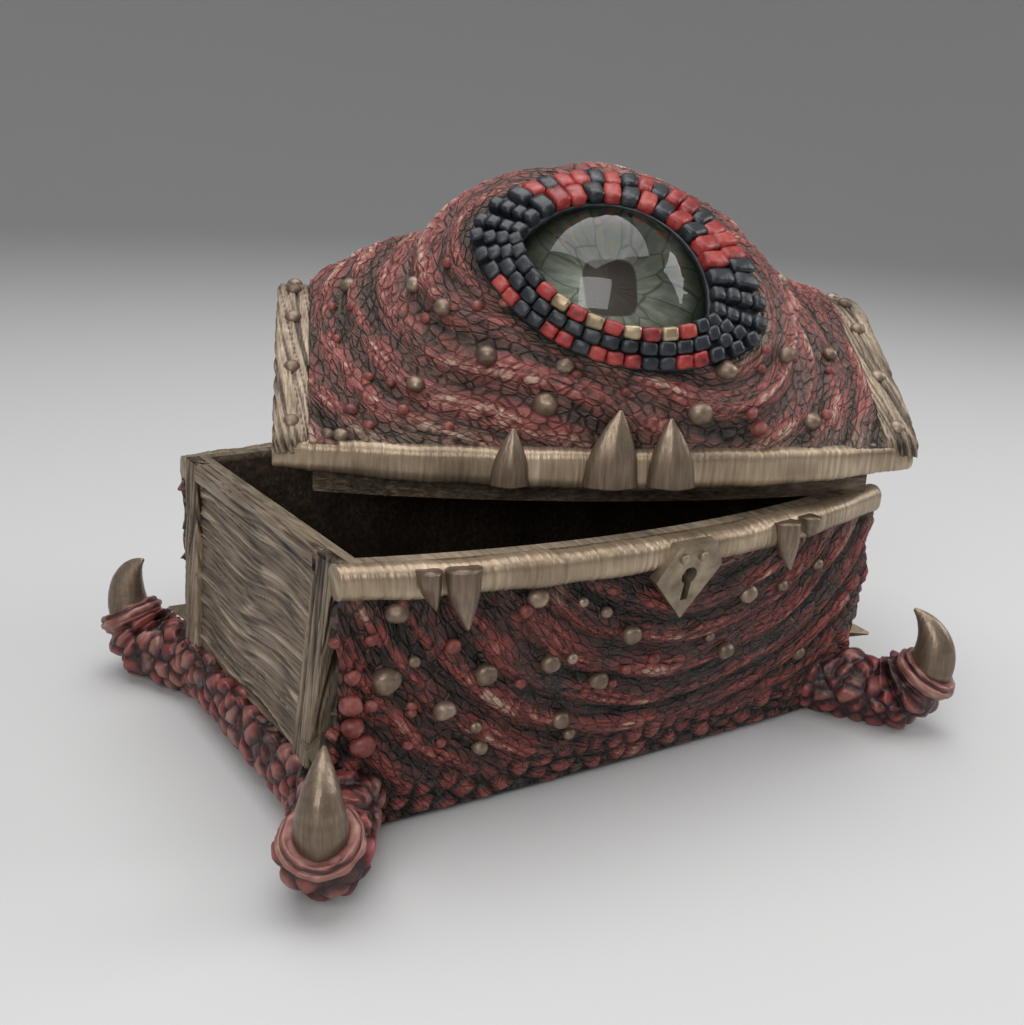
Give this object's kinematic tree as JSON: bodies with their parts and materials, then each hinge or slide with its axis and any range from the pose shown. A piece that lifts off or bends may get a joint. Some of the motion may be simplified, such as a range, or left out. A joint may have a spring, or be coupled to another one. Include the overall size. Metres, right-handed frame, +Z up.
{
  "type": "decorative chest",
  "caption": "Small hide-clad keepsake box on clawed feet, with a loose domed lid that carries a glass eye and lifts straight off.",
  "frame": {"origin": "middle of the felt's underside, on the table", "axes": "+X along the box to its right end, +Y to its back, +Z up"},
  "size_m": [0.1783, 0.1402, 0.1206],
  "materials": {
    "hide": "dry-brushed red over dark grey-green folds",
    "timber": "wood grain in antique bronze",
    "dark_timber": "dark brown, bronze on the edges",
    "bronze": "satin antique bronze",
    "horn": "satin antique bronze",
    "eye_glass": "clear, faintly green",
    "iris": "painted grey-olive iris",
    "scale_black": "satin blue-black enamel",
    "scale_gold": "worn gold",
    "scale_red": "satin red enamel",
    "felt": "black felt",
    "scaled_hide": "pebbled red scales with worn bronze tops"
  },
  "bodies": {
    "box": {"back_hide": "hide", "back_lip": "timber", "carcass": "dark_timber", "clasp_plate": "bronze", "clasp_rivets": "bronze", "claw_back_left": "horn", "claw_back_right": "horn", "claw_front_left": "horn", "claw_front_right": "horn", "end_band_left": "hide", "end_band_right": "hide", "end_panel_left": "timber", "end_panel_right": "timber", "end_rail_left": "timber", "end_rail_right": "timber", "felt_pad": "felt", "front_hide": "hide", "front_lip": "timber", "lower_tooth_left_large": "horn", "lower_tooth_left_small": "horn", "lower_tooth_right_large": "horn", "lower_tooth_right_small": "horn", "post_back_left": "timber", "post_back_right": "timber", "post_front_left": "timber", "post_front_right": "timber", "spur_back_left": "horn", "spur_back_right": "horn", "spur_front_left": "horn", "spur_front_right": "horn", "toe_back_left": "scaled_hide", "toe_back_right": "scaled_hide", "toe_front_left": "scaled_hide", "toe_front_right": "scaled_hide"},
    "lid": {"eye_glass": "eye_glass", "eye_iris": "iris", "eye_socket": "hide", "eyelid_scales_black": "scale_black", "eyelid_scales_gold": "scale_gold", "eyelid_scales_red": "scale_red", "eyelids": "hide", "lid_back_lip": "timber", "lid_end_left": "dark_timber", "lid_end_right": "dark_timber", "lid_front_lip": "timber", "lid_hide": "hide", "lid_rim": "dark_timber", "lid_shell": "dark_timber", "lid_strap_left": "timber", "lid_strap_right": "timber", "strap_rivets_left": "bronze", "strap_rivets_right": "bronze", "upper_tooth_left": "horn", "upper_tooth_middle": "horn", "upper_tooth_right": "horn"}
  },
  "joints": [
    {"name": "lid_lift", "type": "slide", "parent": "box", "child": "lid", "axis": [0, 0, 1], "range_m": [0, 0.09]}
  ]
}
